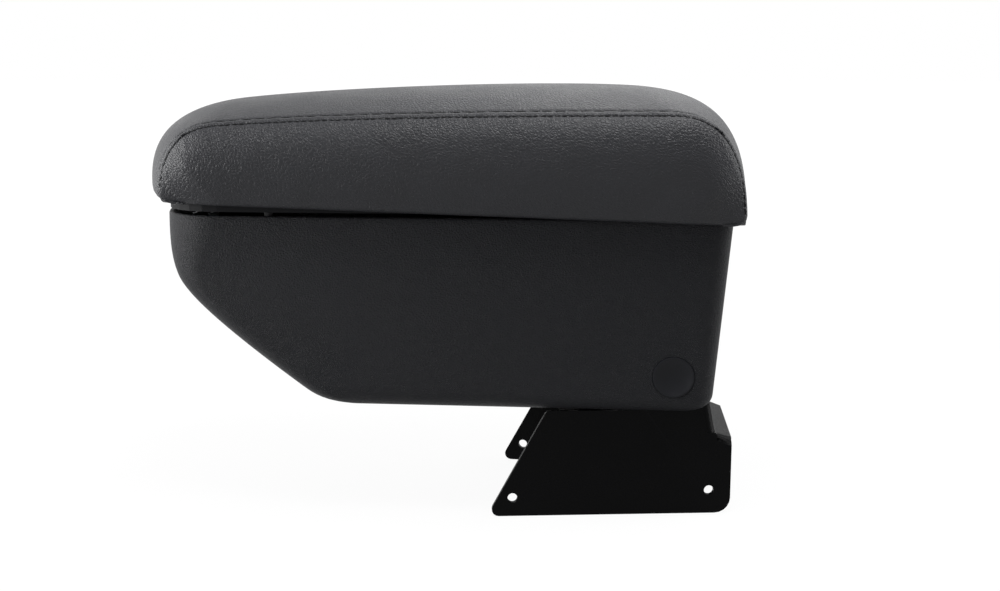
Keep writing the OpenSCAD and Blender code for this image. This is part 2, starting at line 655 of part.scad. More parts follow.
// The side panel: rings that step inwards and outwards from the seam
function side_ring(d, y) =
    let (c = pad_curve(0, d), ring = concat(c, lower_edge(c)))
    [for (p = ring) let (low = mix(edge_front_z, edge_rear_z, (p[0] - nose_x) / (tail_x - nose_x)))
        [p[0], y, max(p[1], low + d)]];
module side_cover(s) {
    outer = [side_ring(0, seam_half_w), side_ring(2.5, seam_half_w + side_bulge * 0.6),
        side_ring(7, seam_half_w + side_bulge * 0.92), side_ring(14, seam_half_w + side_bulge)];
    inner = [side_ring(14, seam_half_w + side_bulge - cover_t),
        side_ring(7, seam_half_w + side_bulge * 0.92 - cover_t), side_ring(cover_t + 0.6, seam_half_w)];
    rings = concat(inner, outer);
    mirror([0, s > 0 ? 0 : 1, 0]) polyhedron_ring_skin(rings);
}
// A dished skin: its rings run from the inner face round the rim to the outer face
module polyhedron_ring_skin(rings) {
    n = len(rings[0]);
    m = len(rings);
    middle = (rings[0][0] + rings[0][floor(n / 2)]) / 2;
    centres = [middle, [middle[0], rings[m - 1][0][1], middle[2]]];
    points = concat([for (r = rings) for (p = r) p], centres);
    sides = [for (k = [0:m - 2]) for (i = [0:n - 1]) let (j = (i + 1) % n)
        each [[k * n + i, (k + 1) * n + j, k * n + j], [k * n + i, (k + 1) * n + i, (k + 1) * n + j]]];
    caps = [for (i = [0:n - 1]) let (j = (i + 1) % n)
        each [[m * n, i, j], [m * n + 1, (m - 1) * n + j, (m - 1) * n + i]]];
    polyhedron(points, concat(sides, caps), convexity = 6);
}
module side_cover_left() { color("#3b3b3e") side_cover(-1); }
module side_cover_right() { color("#3b3b3e") side_cover(1); }
module pad_foam() {
    d = cover_t + 0.3;
    rows = [for (t = rows_y) let (y = t * (1 - gap / seam_half_w), c = pad_curve(swell_at(t), d))
        at_y(concat(c, lower_edge(c)), y)];
    color("#d9cfae") difference() {
        loft(rows);
        translate([0, 0, edge_rear_z - 5]) linear_extrude(foam_z - edge_rear_z + 5) polygon(lid_plan(-0.9));
        translate([box_rear_x - 8, -seam_half_w + 4, edge_rear_z - 5])
            cube([lid_rear_x, 2 * seam_half_w - 8, foam_z - edge_rear_z + 5]);
    }
}

bracket();
rest_buffers();
pivot_nuts();
pivot_bolt_left();
pivot_bolt_right();
friction_washers();
storage_box();
mechanism_cover();
cover_screws();
box_mat();
pivot_bush_left();
pivot_bush_right();
pivot_cap_left();
pivot_cap_right();
catch_clip();
catch_screw();
hinge_pin();
lid_panel();
lid_bumpers();
lid_screws();
pad_board();
pad_foam();
top_cover();
side_cover_left();
side_cover_right();
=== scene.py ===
"""Car centre armrest: padded lid, grained storage box and powder-coated bracket, dressed for rendering."""

import math
from contextlib import contextmanager

import bpy
import numpy as np
from bpy.props import FloatProperty, FloatVectorProperty, IntProperty, PointerProperty
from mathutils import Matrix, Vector


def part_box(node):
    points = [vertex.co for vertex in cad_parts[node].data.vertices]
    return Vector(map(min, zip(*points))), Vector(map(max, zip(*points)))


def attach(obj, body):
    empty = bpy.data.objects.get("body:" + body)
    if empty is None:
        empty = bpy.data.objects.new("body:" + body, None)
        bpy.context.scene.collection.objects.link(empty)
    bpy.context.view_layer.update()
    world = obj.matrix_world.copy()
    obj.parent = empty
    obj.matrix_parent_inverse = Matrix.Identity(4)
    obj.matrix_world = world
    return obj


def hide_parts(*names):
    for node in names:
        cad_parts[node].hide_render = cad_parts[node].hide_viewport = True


bl_info = {
    "name": "Car centre armrest",
    "version": (1, 0, 0),
    "blender": (4, 5, 0),
    "location": "View3D > Sidebar > Armrest",
    "description": "Dresses the armrest's lid, box and bracket and sets up a studio round it",
    "category": "Object",
}

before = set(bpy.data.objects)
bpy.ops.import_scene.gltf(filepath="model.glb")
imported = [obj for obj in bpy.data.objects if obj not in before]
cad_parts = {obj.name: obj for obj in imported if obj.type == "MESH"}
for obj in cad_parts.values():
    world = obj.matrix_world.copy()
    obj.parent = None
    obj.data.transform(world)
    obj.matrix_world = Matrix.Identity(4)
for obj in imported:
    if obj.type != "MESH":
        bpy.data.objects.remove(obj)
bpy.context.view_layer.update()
MM = 0.001


def limits(node):
    """The lowest and highest corners of a CAD node, in millimetres."""
    low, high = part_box(node)
    return [v / MM for v in low], [v / MM for v in high]


STRIP_LOW, STRIP_HIGH = limits("top_cover")
SIDE_LOW, SIDE_HIGH = limits("side_cover_right")
CAP_LOW, CAP_HIGH = limits("pivot_cap_right")
PIN_LOW, PIN_HIGH = limits("hinge_pin")
BOX_LOW = limits("storage_box")[0]
CATCH_LOW = limits("catch_clip")[0]
PAD_CORE = (0.0, 0.0, (SIDE_LOW[2] + SIDE_HIGH[2]) / 2)
PIVOT_X, PIVOT_Z = (CAP_LOW[0] + CAP_HIGH[0]) / 2, (CAP_LOW[2] + CAP_HIGH[2]) / 2
PIN_X, PIN_Z = (PIN_LOW[0] + PIN_HIGH[0]) / 2, (PIN_LOW[2] + PIN_HIGH[2]) / 2
SIDES = ((-1, "left"), (1, "right"))


# Sizes and finishes that a user would change


def size(name, description, default, low=0.0, high=400.0):
    return FloatProperty(name=name, description=description, default=default, min=low, max=high)


def colour(name, description, default):
    return FloatVectorProperty(
        name=name, description=description, default=default, size=3, subtype="COLOR", min=0, max=1
    )


class PadSettings(bpy.types.PropertyGroup):
    seam_half: size("Seam half width", "Half the distance between the seams, mm", SIDE_LOW[1])
    nose_depth: size("Nose depth", "How far the nose stands ahead of the seams, mm", 17.0)
    tail_depth: size("Tail depth", "How far the tail stands behind the seams, mm", 4.4)
    crown: size("Crown", "Height of the crowned top above the seams, mm", 13.0)
    bulge: size("Side bulge", "How far a side panel swells past its seam, mm", 6.0)
    edge_roll: size("Edge roll", "Radius with which the covers turn under the pad, mm", 3.2)
    nose_roll: size("Nose roll", "Radius by which the cover rolls under the nose, mm", 6.5)
    tail_roll: size("Tail roll", "Radius by which the cover rolls under the tail, mm", 4.6)
    edge_front: size("Front edge", "Height of the pad's lower edge at the nose, mm", 160.0)
    seam_front: size("Front seam", "Height of the seam behind the nose, mm", 198.4)
    stitch_inset: size("Stitch inset", "Distance from the seam to the topstitch, mm", 4.6)
    stitch_pitch: size("Stitch pitch", "Length from one topstitch to the next, mm", 6.6)
    seam_pitch: size("Seam pitch", "Length from one stitch in the seam to the next, mm", 3.5)
    thickness: size("Cover", "Thickness of the leatherette, mm", 1.1)


class BoxSettings(bpy.types.PropertyGroup):
    half_width: size("Half width", "Half of the box's width at its rim, mm", 57.0)
    height: size("Height", "Height of the box from its floor to its rim, mm", 96.5)
    wall: size("Wall", "Thickness of the side walls, mm", 2.6)
    floor: size("Floor", "Thickness of the floor, mm", 2.8)
    front_wall: size("Front wall", "Height of the front wall above the slanted underside, mm", 33.5)
    slant: FloatProperty(name="Slant", description="Angle of the slanted underside, degrees", default=35.7)
    bow: FloatProperty(name="Bow", description="How much the slanted underside bows outwards", default=0.002)
    kink: size("Kink", "Width of the kink between the front wall and the slant, mm", 16.0)
    bend: size("Bend", "Radius of the bend from the slant to the floor, mm", 34.0)
    edge: size("Floor edge", "Radius of the edge all round the floor, mm", 9.0)
    rear_lean: FloatProperty(name="Rear lean", description="Lean of the rear wall, degrees", default=5.0)
    draft: FloatProperty(name="Draft", description="Sideways draft of the walls", default=0.016)
    taper: FloatProperty(name="Taper", description="How much narrower the front end is", default=0.05)
    front_set: size("Front set", "How far the front stands behind the pad's nose, mm", 5.3)
    rear_set: size("Rear set", "How far the rear rim stands ahead of the pad's tail, mm", 9.4)
    boss: size("Boss", "Radius of the pivot bosses inside the walls, mm", 10.4)
    knuckle: size("Knuckle", "Radius of the hinge knuckles, mm", 3.4)
    cap_dish: size("Cap dish", "Depth of the hollow in the pivot caps, mm", 2.3)


class BracketSettings(bpy.types.PropertyGroup):
    edge: size("Edge", "Radius that softens the edges of the folded sheet, mm", 1.0)
    segments: IntProperty(name="Segments", description="Bevel segments on the edges", default=3, min=1, max=6)


class FinishSettings(bpy.types.PropertyGroup):
    leather: colour("Leatherette", "Colour of the pad's cover", (0.0118, 0.0122, 0.0150))
    thread: colour("Thread", "Colour of the stitches", (0.003, 0.003, 0.0035))
    plastic: colour("Box plastic", "Colour of the moulded box", (0.0052, 0.0056, 0.0074))
    coat: colour("Powder coat", "Colour of the bracket", (0.002, 0.002, 0.0022))
    rubber: colour("Rubber", "Colour of the bumpers and the mat", (0.016, 0.016, 0.017))
    # Painted shade: the foam's colour is near black so that, where it shows between and under the covers, it
    # reads as the shade in the seams and gaps
    foam: colour("Foam", "Colour of the foam under the covers", (0.022, 0.022, 0.024))


class StageSettings(bpy.types.PropertyGroup):
    lens: FloatProperty(name="Lens", description="Focal length, mm", default=46.8, min=10, max=200)
    camera_x: size("Camera X", "Camera's place along the lid, mm", 78.4, -2000, 2000)
    camera_y: size("Camera Y", "Camera's place across the lid, mm", -681.1, -2000, 2000)
    camera_z: size("Camera Z", "Camera's height, mm", 228.1, 0, 2000)
    pitch: FloatProperty(name="Pitch", description="Downward tilt, degrees", default=10.18, min=-90, max=90)
    yaw: FloatProperty(name="Yaw", description="Turn to the nose, degrees", default=4.33, min=-90, max=90)
    floor_tone: FloatProperty(name="Floor", description="Brightness of the floor", default=0.45, min=0, max=1)
    ambient: FloatProperty(name="Ambient", description="Strength of the even light all round", default=0.05)


# Selecting and finishing


def deselect():
    if bpy.context.mode != "OBJECT":
        bpy.ops.object.mode_set(mode="OBJECT")
    bpy.ops.object.select_all(action="DESELECT")


def pick(piece):
    deselect()
    piece.select_set(True)
    bpy.context.view_layer.objects.active = piece


@contextmanager
def editing(piece):
    """Edit mode on a piece, with all of it selected."""
    pick(piece)
    bpy.ops.object.mode_set(mode="EDIT")
    bpy.ops.mesh.select_all(action="SELECT")
    yield
    bpy.ops.object.mode_set(mode="OBJECT")


def apply_all(piece):
    pick(piece)
    for modifier in list(piece.modifiers):
        bpy.ops.object.modifier_apply(modifier=modifier.name)


def dress(piece, material, body, nodes=()):
    """Gives a piece its material and body, and hides the CAD nodes that it stands for."""
    piece.data.materials.clear()
    piece.data.materials.append(material)
    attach(piece, body)
    if nodes:
        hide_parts(*nodes)


def grid(name, columns, rows):
    """A flat grid with u and v from 0 to 1, which a surface function then shapes."""
    deselect()
    bpy.ops.mesh.primitive_grid_add(x_subdivisions=columns, y_subdivisions=rows, size=2, calc_uvs=True)
    piece = bpy.context.active_object
    piece.name = name
    piece.data.name = name
    return piece


def read_points(piece):
    flat = np.empty(len(piece.data.vertices) * 3)
    piece.data.vertices.foreach_get("co", flat)
    return flat.reshape(-1, 3)


def write_points(piece, points):
    """Writes points given in millimetres."""
    piece.data.vertices.foreach_set("co", (points * MM).ravel())
    piece.data.update()


def face_outwards(piece, core=None):
    """Recalculates the normals; an open sheet is turned so that it faces away from core, mm."""
    with editing(piece):
        bpy.ops.mesh.normals_make_consistent(inside=False)
    if core is None:
        return
    centre = Vector(core) * MM
    facing = sum(p.normal.dot((p.center - centre).normalized()) * p.area for p in piece.data.polygons)
    if facing < 0:
        with editing(piece):
            bpy.ops.mesh.flip_normals()


def smooth(piece, angle=40):
    pick(piece)
    bpy.ops.object.shade_smooth_by_angle(angle=math.radians(angle))


def thicken(piece, thickness):
    """Gives an open sheet its thickness, in mm, on its inner side."""
    solid = piece.modifiers.new("thickness", "SOLIDIFY")
    solid.thickness = thickness * MM
    solid.offset = -1
    apply_all(piece)


def copy_node(name, piece_name):
    """A merged copy of a CAD node's mesh, which modifiers can then round."""
    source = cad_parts[name]
    piece = source.copy()
    piece.data = source.data.copy()
    piece.name = piece_name
    bpy.context.collection.objects.link(piece)
    with editing(piece):
        bpy.ops.mesh.remove_doubles(threshold=1e-6)
        bpy.ops.mesh.dissolve_limited(angle_limit=math.radians(0.3))
    return piece


def rounded_copy(name, piece_name, width, segments, angle=35):
    piece = copy_node(name, piece_name)
    bevel = piece.modifiers.new("edges", "BEVEL")
    bevel.width = width * MM
    bevel.segments = segments
    bevel.limit_method = "ANGLE"
    bevel.angle_limit = math.radians(angle)
    bevel.use_clamp_overlap = True
    apply_all(piece)
    smooth(piece, angle)
    return piece


# Materials


class Shader:
    """A small builder for node materials on object coordinates."""

    def __init__(self, name):
        self.material = bpy.data.materials.new(name)
        self.material.use_nodes = True
        self.tree = self.material.node_tree
        self.surface = self.tree.nodes["Principled BSDF"]

    def node(self, kind, **values):
        made = self.tree.nodes.new(kind)
        for key, value in values.items():
            if hasattr(made, key):
                setattr(made, key, value)
            else:
                made.inputs[key.replace("_", " ").title()].default_value = value
        return made

    def link(self, source, target):
        self.tree.links.new(source, target)

    def place(self, scale, turn=(0, 0, 0)):
        """Object coordinates in millimetres, turned in degrees and stretched by scale."""
        coords = self.node("ShaderNodeTexCoord")
        mapping = self.node("ShaderNodeMapping", vector_type="TEXTURE" if any(turn) else "POINT")
        mapping.inputs["Rotation"].default_value = [math.radians(a) for a in turn]
        mapping.inputs["Scale"].default_value = [MM / v if any(turn) else v / MM for v in scale]
        self.link(coords.outputs["Object"], mapping.inputs["Vector"])
        return mapping.outputs["Vector"]

    def ramp(self, value, stops):
        made = self.node("ShaderNodeValToRGB")
        while len(made.color_ramp.elements) < len(stops):
            made.color_ramp.elements.new(0.5)
        for element, (place, tone) in zip(made.color_ramp.elements, stops):
            element.position = place
            element.color = (*tone, 1) if isinstance(tone, tuple) else (tone, tone, tone, 1)
        self.link(value, made.inputs["Fac"])
        return made.outputs["Color"]

    def tones(self, value, base, low, high):
        """The base colour, which a texture varies between two shares of it."""
        stops = [(0.3, tint(base, low)), (0.7, tint(base, high))]
        self.link(self.ramp(value, stops), self.surface.inputs["Base Color"])

    def sheen(self, value, low, high, start=0.3, end=0.7):
        """The roughness, which a texture varies from low to high."""
        self.link(self.ramp(value, [(start, low), (end, high)]), self.surface.inputs["Roughness"])

    def bump(self, height, strength, distance, below=None):
        made = self.node("ShaderNodeBump")
        made.inputs["Strength"].default_value = strength
        made.inputs["Distance"].default_value = distance * MM
        self.link(height, made.inputs["Height"])
        if below:
            self.link(below, made.inputs["Normal"])
        return made.outputs["Normal"]

    def noise(self, vector, scale, detail=3.0, roughness=0.5, distortion=0.0):
        made = self.node("ShaderNodeTexNoise")
        values = {"Scale": scale, "Detail": detail, "Roughness": roughness, "Distortion": distortion}
        for key, value in values.items():
            made.inputs[key].default_value = value
        self.link(vector, made.inputs["Vector"])
        return made.outputs["Fac"]

    def cells(self, vector, scale):
        made = self.node("ShaderNodeTexVoronoi", feature="DISTANCE_TO_EDGE")
        made.inputs["Scale"].default_value = scale
        self.link(vector, made.inputs["Vector"])
        return made.outputs["Distance"]

    def set(self, **values):
        for key, value in values.items():
            self.surface.inputs[key.replace("_", " ").title().replace("Ior", "IOR")].default_value = value


def tint(base, factor):
    return tuple(min(1.0, c * factor) for c in base)


def leatherette(name, base, roughness):
    """Soft leatherette: fine creased cells that run in one direction, and a satin sheen."""
    s = Shader(name)
    where = s.place((1, 1, 1))
    wave = s.noise(where, 0.055, 2, 0.5)
    warped = s.noise(where, 0.3, 2, 0.6, 1.5)
    slanted = s.place((0.7, 0.9, 1.1), (0, 38, 0))
    grain = s.cells(slanted, 0.72)
    fine = s.noise(slanted, 1.5, 2, 0.6, 0.8)
    s.tones(wave, base, 0.92, 1.08)
    s.sheen(wave, roughness - 0.03, roughness + 0.04)
    slow = s.bump(warped, 0.4, 0.5)
    cells = s.bump(s.ramp(grain, [(0.0, 0.0), (0.25, 1.0)]), 0.6, 0.26, slow)
    s.link(s.bump(fine, 0.5, 0.34, cells), s.surface.inputs["Normal"])
    s.set(specular_ior_level=0.28)
    return s.material


def moulded(name, base, roughness, grain=1.0, depth=0.2):
    """Moulded plastic with the fine, slightly slanted pebble grain of a car's trim."""
    s = Shader(name)
    where = s.place((1, 1, 1))
    slanted = s.place((0.62, 1, 1.15), (0, -32, 0))
    pebbles = s.cells(slanted, 1.05 * grain)
    haze = s.noise(where, 0.03, 2)
    crumbs = s.noise(slanted, 2.3 * grain, 3, 0.6, 0.4)
    s.tones(haze, base, 0.94, 1.06)
    s.sheen(haze, roughness - 0.03, roughness + 0.03)
    grained = s.bump(s.ramp(pebbles, [(0.0, 0.0), (0.35, 1.0)]), 0.8, depth * 1.6)
    s.link(s.bump(crumbs, 0.9, depth * 2, grained), s.surface.inputs["Normal"])
    s.set(specular_ior_level=0.15)
    return s.material


def powder_coat(name, base):
    """Black powder coat: pebbled, with a little gloss on each grain."""
    s = Shader(name)
    where = s.place((1, 1, 1))
    grains = s.noise(where, 1.15, 2, 0.55)
    haze = s.noise(where, 0.05, 2)
    s.tones(haze, base, 0.85, 1.15)
    s.sheen(grains, 0.34, 0.46, 0.35, 0.65)
    s.link(s.bump(grains, 0.6, 0.45), s.surface.inputs["Normal"])
    s.set(specular_ior_level=0.05)
    return s.material


def metal(name, base, roughness):
    """Plated steel with faint turning marks."""
    s = Shader(name)
    marks = s.noise(s.place((1, 6, 1)), 1.2, 2)
    s.tones(marks, base, 0.85, 1.1)
    s.sheen(marks, roughness - 0.06, roughness + 0.06)
    s.set(metallic=1.0)
    return s.material


def plain(name, base, roughness, speckle=2.0, depth=0.1, shine=0.4):
    """Matt rubber, nylon or board: one tone with a fine speckle."""
    s = Shader(name)
    speck = s.noise(s.place((1, 1, 1)), speckle, 3)
    s.tones(speck, base, 0.9, 1.1)
    s.link(s.bump(speck, 0.3, depth), s.surface.inputs["Normal"])
    s.set(roughness=roughness, specular_ior_level=shine)
    return s.material


# Shape of the pad, as three Bezier curves seen from the side: nose, top and tail


def pad_controls(pad):
    """Control points at the seams and how far each moves by the middle of the pad, mm."""
    edge_rear, seam_rear = SIDE_LOW[2], SIDE_HIGH[2]
    nose = STRIP_LOW[0] + pad.nose_depth + 1.0
    tail = STRIP_HIGH[0] - pad.tail_depth - 0.6
    nose_d, tail_d, crown = pad.nose_depth, pad.tail_depth, pad.crown
    seams = [
        (nose - 0.2, pad.edge_front), (nose + 0.3, pad.edge_front + 15),
        (nose + 5, pad.seam_front - 2.5), (nose + 28, pad.seam_front - 0.6),
        (nose + 74, pad.seam_front + 3.2), (tail - 108.7, seam_rear),
        (tail - 34.5, seam_rear), (tail - 11.3, seam_rear - 0.1),
        (tail - 0.6, seam_rear - 18.5), (tail, edge_rear),
    ]
    swell = [
        (1.8 - nose_d, -1.5), (-nose_d - 3.2, 3.6),
        (-nose_d - 6, crown - 4.9), (-0.3, crown - 1),
        (0, crown + 0.4), (5.3, crown + 2.8),
        (-20, crown + 0.2), (0, crown - 2.1),
        (tail_d + 2.0, crown - 0.3), (tail_d - 1.6, -0.3),
    ]
    return np.array(seams, float), np.array(swell, float)


def bezier_chain(controls, t):
    """Points of a chain of cubic curves; controls is (..., 10, 2) and t runs from 0 to 3."""
    k = np.clip(t.astype(int), 0, 2)
    s = (t - k)[..., None]
    rows = np.arange(len(t))
    p = [controls[rows, 3 * k + i] for i in range(4)]
    return (1 - s) ** 3 * p[0] + 3 * s * (1 - s) ** 2 * p[1] + 3 * s * s * (1 - s) * p[2] + s**3 * p[3]


class PadShape:
    """The pad's surface: u runs from the nose's lower edge over the top to the tail's."""

    def __init__(self, pad):
        self.pad = pad
        self.seams, self.swell = pad_controls(pad)
        t = np.linspace(0, 3, 601)
        run = self.curve(t, np.zeros_like(t))
        length = np.concatenate([[0], np.cumsum(np.linalg.norm(np.diff(run, axis=0), axis=1))])
        self.length = length[-1]
        self.t_table, self.u_table = t, length / length[-1]

    def curve(self, t, weight):
        controls = self.seams[None] + weight[:, None, None] * self.swell[None]
        return bezier_chain(controls, t)

    def t_of(self, u):
        return np.interp(u, self.u_table, self.t_table)

    def weight(self, y):
        return 1 - np.abs(np.clip(y / self.pad.seam_half, -1, 1)) ** 2.3

    def lower_edge(self, x):
        seams = self.seams
        return np.interp(x, [seams[0][0], seams[9][0]], [seams[0][1], seams[9][1]])

    def strip(self, u, y, lift=0.0):
        """Points of the top strip; lift moves them outwards, mm."""
        t, w = self.t_of(u), self.weight(y)
        here = self.curve(t, w)
        step = 1e-3
        along = self.curve(np.clip(t + step, 0, 3), w) - self.curve(np.clip(t - step, 0, 3), w)
        near = self.curve(t, self.weight(y + 0.05)) - self.curve(t, self.weight(y - 0.05))
        a = np.stack([along[:, 0], np.zeros(len(t)), along[:, 1]], 1)
        b = np.stack([near[:, 0], np.full(len(t), 0.1), near[:, 1]], 1)
        normal = np.cross(a, b)
        normal /= np.linalg.norm(normal, axis=1)[:, None]
        points = np.stack([here[:, 0], y, here[:, 1]], 1)
        return points + normal * np.asarray(lift)[..., None]


def turn_under(share, radius, flat):
    """How far a cover's end lies inwards and down as it rolls under the pad, mm."""
    arc = np.clip(share * 2, 0, 1) * math.pi / 2
    return radius * (1 - np.cos(arc)) + flat * np.clip(share * 2 - 1, 0, 1), radius * np.sin(arc)


def pucker(along, depth_from_seam):
    """Small folds that the seam pulls into the leatherette, mm."""
    folds = np.sin(along * 0.62) * 0.5 + np.sin(along * 0.97 + 1.3) * 0.3 + np.sin(along * 0.31 + 0.4) * 0.4
    return 0.16 * folds * np.exp(-((depth_from_seam - 3.0) ** 2) / 30.0) * (depth_from_seam > 0)


class ARMREST_OT_top_strip(bpy.types.Operator):
    """Models the leatherette strip that runs over the pad from nose to tail"""

    bl_idname = "armrest.top_strip"
    bl_label = "Top strip"

    # Depth and width of the dip into the seam and of the one under the topstitch, mm
    SEAM_DIP, STITCH_DIP = (1.3, 0.55), (0.7, 0.7)
    # Height, distance from the seam and width of the welt between the two, mm
    WELT = 0.55, 2.2, 1.2

    def execute(self, context):
        pad = context.scene.armrest_pad
        shape = PadShape(pad)
        piece = grid("top_strip", 280, 100)
        flat = read_points(piece)
        # The share of the length that turns under the pad at either end
        wrap = 0.03
        u_raw = (flat[:, 0] + 1) / 2 * (1 + 2 * wrap) - wrap
        side = flat[:, 1]
        y = np.sign(side) * pad.seam_half * (1 - (1 - np.abs(side)) ** 1.9)
        first, last = pad.nose_roll / shape.length, pad.tail_roll / shape.length
        u = np.clip(u_raw, 0, 1) * (1 - first - last) + first
        # The strip dips into the seam and at the topstitch, with a soft welt between them
        inset = pad.seam_half - np.abs(y)
        (seam_deep, seam_wide), (stitch_deep, stitch_wide) = self.SEAM_DIP, self.STITCH_DIP
        welt_high, welt_at, welt_wide = self.WELT
        dip = -seam_deep * np.exp(-((inset / seam_wide) ** 2))
        dip = dip - stitch_deep * np.exp(-(((inset - pad.stitch_inset) / stitch_wide) ** 2))
        ridge = welt_high * np.exp(-(((inset - welt_at) / welt_wide) ** 2))
        calm = np.clip(np.minimum(u, 1 - u) / 0.12, 0.2, 1)
        points = shape.strip(u, y, dip + ridge + calm * pucker(u * shape.length, inset) * 0.8)
        under = np.maximum(-u_raw, 0) + np.maximum(u_raw - 1, 0)
        roll = np.where(u_raw < 0.5, pad.nose_roll, pad.tail_roll)
        inwards, down = turn_under(under / wrap, roll, 5.0)
        points[:, 0] += np.where(u_raw < 0.5, inwards, -inwards)
        points[:, 2] -= down
        write_points(piece, points)
        face_outwards(piece, PAD_CORE)
        thicken(piece, pad.thickness)
        smooth(piece, 50)
        dress(piece, self.material(context), "lid", ["top_cover"])
        return {"FINISHED"}

    @staticmethod
    def material(context):
        return leatherette("strip leatherette", context.scene.armrest_finish.leather, 0.42)


def patch(bottom, top, left, right, u, v):
    """A surface patch between four border curves, each given as a function of 0 to 1."""
    uu, vv = u[:, None], v[:, None]
    start, end = np.zeros(1), np.ones(1)
    corners = (
        (1 - uu) * (1 - vv) * bottom(start) + uu * (1 - vv) * bottom(end)
        + (1 - uu) * vv * top(start) + uu * vv * top(end)
    )
    return (1 - vv) * bottom(u) + vv * top(u) + (1 - uu) * left(v) + uu * right(v) - corners


def distance(points, line):
    """Distance from each point to the nearest point of a line."""
    nearest = np.full(len(points), 1e9)
    for spot in line:
        nearest = np.minimum(nearest, ((points - spot) ** 2).sum(1))
    return np.sqrt(nearest)


class ARMREST_OT_side_panels(bpy.types.Operator):
    """Models the two leatherette panels sewn to the strip's edges"""

    bl_idname = "armrest.side_panels"
    bl_label = "Side panels"

    def execute(self, context):
        pad = context.scene.armrest_pad
        shape = PadShape(pad)
        material = leatherette("side leatherette", context.scene.armrest_finish.leather, 0.42)
        for sign, name in SIDES:
            piece = self.panel(pad, shape, sign, "side_panel_" + name)
            dress(piece, material, "lid", ["side_cover_" + name])
        return {"FINISHED"}

    def panel(self, pad, shape, sign, name):
        piece = grid(name, 240, 84)
        flat = read_points(piece)
        # The share of the height that turns under the pad
        wrap = 0.12
        u = (flat[:, 0] + 1) / 2
        v_raw = (flat[:, 1] + 1) / 2 * (1 + wrap) - wrap
        u = 0.5 - 0.5 * np.cos(np.pi * (0.04 + 0.92 * u)) / math.cos(0.04 * math.pi)
        v = 1 - (1 - np.clip(v_raw, 0, 1)) ** 1.5
        # The seam's upper corners, as shares of its length from the nose
        front_corner, rear_corner = 0.105, 0.862

        def seam(w):
            return shape.curve(shape.t_of(w), np.zeros_like(w))

        def bottom(a):
            x = shape.seams[0][0] + a * (shape.seams[9][0] - shape.seams[0][0])
            return np.stack([x, shape.lower_edge(x)], 1)

        flat_points = patch(
            bottom,
            lambda a: seam(front_corner + a * (rear_corner - front_corner)),
            lambda a: seam(a * front_corner),
            lambda a: seam(1 - a * (1 - rear_corner)),
            u, v,
        )
        from_seam = distance(flat_points, seam(np.linspace(0, 1, 420)))
        from_edge = flat_points[:, 1] - shape.lower_edge(flat_points[:, 0])
        down = from_seam / (from_seam + from_edge + 1e-6)
        full = from_seam + from_edge
        swell = pad.bulge * (1 - np.exp(-from_seam / 7.0)) + full * (0.14 * down - 0.20 * down**2)
        out = swell * np.clip(full / 30, 0.3, 1) - 0.9 * np.exp(-from_seam / 0.45)
        out += pucker(flat_points[:, 0] * 1.1 + flat_points[:, 1] * 0.5, from_seam)
        points = np.stack([flat_points[:, 0], sign * (pad.seam_half + out), flat_points[:, 1]], 1)
        from_nose, from_tail = flat_points[:, 0] - shape.seams[0][0], shape.seams[9][0] - flat_points[:, 0]
        roll = pad.edge_roll + (pad.nose_roll - pad.edge_roll) * np.exp(-np.maximum(from_nose, 0) / 14)
        roll += (pad.tail_roll - pad.edge_roll) * np.exp(-np.maximum(from_tail, 0) / 8)
        inwards, lower = turn_under(np.maximum(-v_raw, 0) / wrap, roll, 4.0)
        points[:, 1] -= sign * inwards
        points[:, 2] += roll * (1 - v) ** 4 - lower
        write_points(piece, points)
        face_outwards(piece, PAD_CORE)
        thicken(piece, pad.thickness)
        smooth(piece, 50)
        return piece


class ARMREST_OT_foam(bpy.types.Operator):
    """Draws in the foam's lower edges, where the covers are pulled tight over it"""

    bl_idname = "armrest.foam"
    bl_label = "Foam"

    def execute(self, context):
        piece = copy_node("pad_foam", "foam_pressed")
        points = read_points(piece) / MM
        reach, shorter, narrower = 14, 0.05, 0.07
        low, middle = points[:, 2].min(), (points[:, 0].min() + points[:, 0].max()) / 2
        pressed = np.clip(1 - (points[:, 2] - low) / reach, 0, 1)
        points[:, 0] = middle + (points[:, 0] - middle) * (1 - shorter * pressed)
        points[:, 1] *= 1 - narrower * pressed
        write_points(piece, points)
        smooth(piece, 40)
        # Painted shade: the near-black foam colour stands in for the shade wherever the foam shows between
        # and under the covers
        foam = plain("foam", context.scene.armrest_finish.foam, 0.9, 0.9, 0.4)
        dress(piece, foam, "lid", ["pad_foam"])
        return {"FINISHED"}


